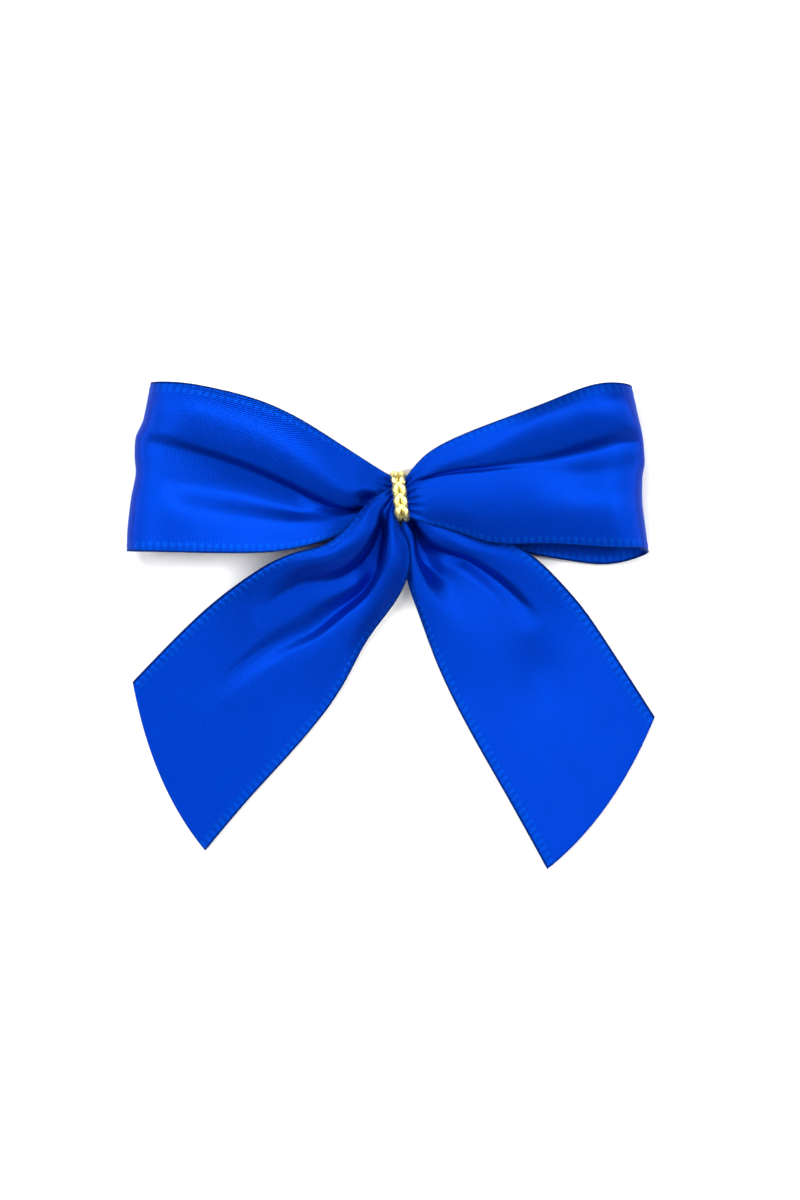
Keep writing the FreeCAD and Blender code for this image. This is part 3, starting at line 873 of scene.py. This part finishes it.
def film_material():
    made = Nodes("adhesive")
    place = made.add("ShaderNodeTexCoord").outputs["Object"]
    streaks = made.add("ShaderNodeMapping", {0: place, 3: (300.0, 1400.0, 300.0)}).outputs[0]
    smear = made.add("ShaderNodeTexNoise", {"Vector": streaks, "Scale": 1.0, "Detail": 3.0}).outputs[0]
    colour = made.mix(smear, (0.66, 0.63, 0.52, 1), (0.80, 0.78, 0.70, 1))
    made.link(colour, "Base Color")
    made.link(made.math("MULTIPLY_ADD", smear, 0.18, 0.10), "Roughness")
    bump = made.add("ShaderNodeBump", {"Strength": 0.3, "Distance": 0.00004, "Height": smear})
    made.link(bump.outputs[0], "Normal")
    made.set(Specular_IOR_Level=0.6)
    return made.material


def paper_material():
    made = Nodes("liner_paper")
    place = made.add("ShaderNodeTexCoord").outputs["Object"]
    fibres = made.add("ShaderNodeMapping", {0: place, 3: (900.0, 2600.0, 900.0)}).outputs[0]
    grain = made.add("ShaderNodeTexNoise", {"Vector": fibres, "Scale": 1.0, "Detail": 5.0}).outputs[0]
    cloud = made.add("ShaderNodeTexNoise", {"Vector": place, "Scale": 260.0, "Detail": 2.0}).outputs[0]
    level = made.math("MULTIPLY_ADD", grain, 0.6, made.math("MULTIPLY", cloud, 0.4))
    colour = made.mix(level, (0.74, 0.72, 0.66, 1), (0.93, 0.92, 0.88, 1))
    made.link(colour, "Base Color")
    made.link(made.math("MULTIPLY_ADD", grain, 0.2, 0.38), "Roughness")
    bump = made.add("ShaderNodeBump", {"Strength": 0.35, "Distance": 0.00002, "Height": level})
    made.link(bump.outputs[0], "Normal")
    made.set(Specular_IOR_Level=0.45)
    return made.material


pad = foam_pad()
pad.data.materials.append(cellular_material())
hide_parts("foam_pad")
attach(pad, "knot")

FILM = film_material()
for name, material in (("adhesive_front", FILM), ("adhesive_back", FILM), ("release_liner", paper_material())):
    node = frame["nodes"][name]
    node.data.materials.clear()
    node.data.materials.append(material)


# Camera, light and floor

IMAGE_HEIGHT = 0.182
CAMERA_HEIGHT = 0.60
VIEW_CENTRE = Vector((0.0, -0.0156, 0.0))

# Each lamp's place in metres, its width and its power
LAMPS = (
    ("key", (-0.26, 0.40, 0.88), 0.5, 7.2),
    ("fill", (0.40, 0.16, 0.88), 0.5, 3.5),
    ("left", (-0.80, 0.05, 0.62), 0.3, 4.6),
    ("right", (0.80, 0.10, 0.62), 0.3, 4.6),
    ("front", (0.0, -0.55, 0.80), 0.8, 3.2),
)
WORLD_LIGHT = 0.14
FLOOR_HALF, FLOOR_LEVEL = 3.0, -0.0002


def look_down():
    data = bpy.data.cameras.new("camera")
    data.sensor_fit = "VERTICAL"
    data.angle = 2 * math.atan(IMAGE_HEIGHT / 2 / CAMERA_HEIGHT)
    camera = bpy.data.objects.new("camera", data)
    camera.location = VIEW_CENTRE + Vector((0, 0, CAMERA_HEIGHT))
    bpy.context.scene.collection.objects.link(camera)
    bpy.context.scene.camera = camera


def soft_light(name, place, size, power):
    data = bpy.data.lights.new(name, "AREA")
    data.shape = "DISK"
    data.size = size
    data.energy = power
    lamp = bpy.data.objects.new(name, data)
    lamp.location = place
    lamp.rotation_euler = (VIEW_CENTRE - lamp.location).to_track_quat("-Z", "Y").to_euler()
    bpy.context.scene.collection.objects.link(lamp)


def floor():
    half = FLOOR_HALF
    mesh = bpy.data.meshes.new("floor")
    corners = [(-half, -half, 0), (half, -half, 0), (half, half, 0), (-half, half, 0)]
    mesh.from_pydata(corners, [], [(0, 1, 2, 3)])
    plane = bpy.data.objects.new("floor", mesh)
    plane.location.z = FLOOR_LEVEL
    bpy.context.scene.collection.objects.link(plane)
    made = Nodes("floor_white")
    grain = made.add("ShaderNodeTexNoise", {"Scale": 40.0, "Detail": 2.0}).outputs[0]
    tone = made.add("ShaderNodeMapRange", {0: grain, 3: 0.93, 4: 0.95}).outputs[0]
    colour = made.add("ShaderNodeCombineColor", {0: tone, 1: tone, 2: tone}).outputs[0]
    made.link(colour, "Base Color")
    made.set(Roughness=0.9, Specular_IOR_Level=0.1)
    mesh.materials.append(made.material)


look_down()
for name, place, size, power in LAMPS:
    soft_light(name, Vector(place), size, power)
floor()
world = bpy.data.worlds.new("studio")
world.use_nodes = True
world.node_tree.nodes["Background"].inputs[0].default_value = (1, 1, 1, 1)
world.node_tree.nodes["Background"].inputs[1].default_value = WORLD_LIGHT
bpy.context.scene.world = world
bpy.context.scene.view_settings.view_transform = "Standard"
